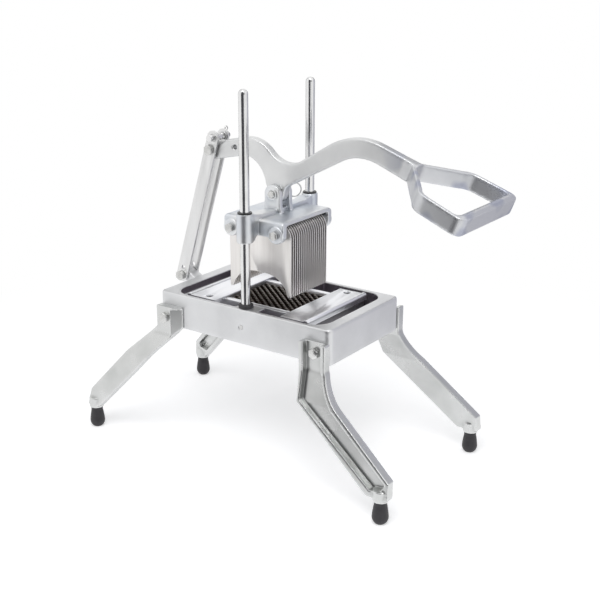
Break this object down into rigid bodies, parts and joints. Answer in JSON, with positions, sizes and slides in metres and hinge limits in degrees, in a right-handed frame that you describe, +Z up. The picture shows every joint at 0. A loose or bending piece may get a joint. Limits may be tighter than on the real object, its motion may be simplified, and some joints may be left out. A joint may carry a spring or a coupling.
{
  "type": "french fry cutter",
  "caption": "Lever-operated food cutter: arched pusher fins slide on two rods and press food through a block of scalloped blades in a base on four splayed legs.",
  "frame": {"origin": "point on the table under the middle of the base casting and between the two guide rods, where a pan stands", "axes": "+Z up; -Y towards the user, where the hand grip is; +Y towards the links; +X to the right seen from the user"},
  "size_m": [0.26, 0.5601, 0.5007],
  "materials": {
    "cast_aluminium": "smooth satin casting, slightly bluish grey",
    "polished_aluminium": "polished casting with bright rib edges and a duller channel floor",
    "fin_aluminium": "warm grey satin plate",
    "bar_aluminium": "bright satin, nearly white",
    "chrome_rod": "mirror chrome",
    "link_steel": "bright flat bar, fine vertical grain",
    "fastener_steel": "bright zinc-plated steel",
    "blade_steel": "ground stainless steel that mirrors the dark mouth",
    "black_rubber": "matt black rubber",
    "black_nylon": "matt black plastic"
  },
  "bodies": {
    "base": {"base_frame": "cast_aluminium", "leg_bolts": "fastener_steel", "guide_rod_left": "chrome_rod", "guide_rod_right": "chrome_rod", "rod_bumper_left": "black_rubber", "rod_bumper_right": "black_rubber", "rod_screws": "fastener_steel", "rod_set_screws": "fastener_steel", "blade_bar_front": "bar_aluminium", "blade_bar_back": "bar_aluminium", "blade_rail_left": "bar_aluminium", "blade_rail_right": "bar_aluminium", "slicing_blades": "blade_steel", "blade_pins": "fastener_steel", "block_screws": "fastener_steel", "rail_screws": "fastener_steel", "base_pivot_bolt": "fastener_steel", "base_pivot_nut": "fastener_steel", "leg_front_left": "polished_aluminium", "leg_front_right": "polished_aluminium", "leg_back_left": "polished_aluminium", "leg_back_right": "polished_aluminium", "foot_front_left": "black_rubber", "foot_front_right": "black_rubber", "foot_back_left": "black_rubber", "foot_back_right": "black_rubber"},
    "links": {"link_left": "link_steel", "link_right": "link_steel", "lever_pivot_bolt": "fastener_steel", "lever_pivot_nut": "fastener_steel", "lever_washers": "fastener_steel", "stop_pin": "chrome_rod", "stop_pin_clip": "fastener_steel"},
    "lever_body": {"lever": "cast_aluminium"},
    "pusher": {"pusher_head": "cast_aluminium", "sleeve_bushing_left": "black_nylon", "sleeve_bushing_right": "black_nylon", "pusher_fins": "fin_aluminium", "fin_spacers": "fastener_steel", "fin_bolts": "fastener_steel", "fin_bolt_nuts": "fastener_steel", "clevis_pin": "fastener_steel"},
    "ring": {"pin_ring": "fastener_steel"}
  },
  "joints": [
    {"name": "pusher_slide", "type": "slide", "parent": "base", "child": "pusher", "axis": [0, 0, 1], "range_m": [-0.075, 0.065]},
    {"name": "lever_swing", "type": "hinge", "parent": "pusher", "child": "lever_body", "pos_m": [0, 0, 0.3567], "axis": [1, 0, 0], "range_deg": [-29.6, 34]},
    {"name": "link_swing", "type": "hinge", "parent": "base", "child": "links", "pos_m": [0, 0.1632, 0.2159], "axis": [1, 0, 0], "range_deg": [-8.4, 9.6]},
    {"name": "ring_swing", "type": "hinge", "parent": "pusher", "child": "ring", "pos_m": [0.02, 0, 0.3567], "axis": [0, 0, 1], "range_deg": [-40, 125]}
  ],
  "couplings": [
    {"joint": "lever_swing", "follows": "pusher_slide", "rad_per_m": -7.7388},
    {"joint": "link_swing", "follows": "pusher_slide", "rad_per_m": -2.1328}
  ]
}
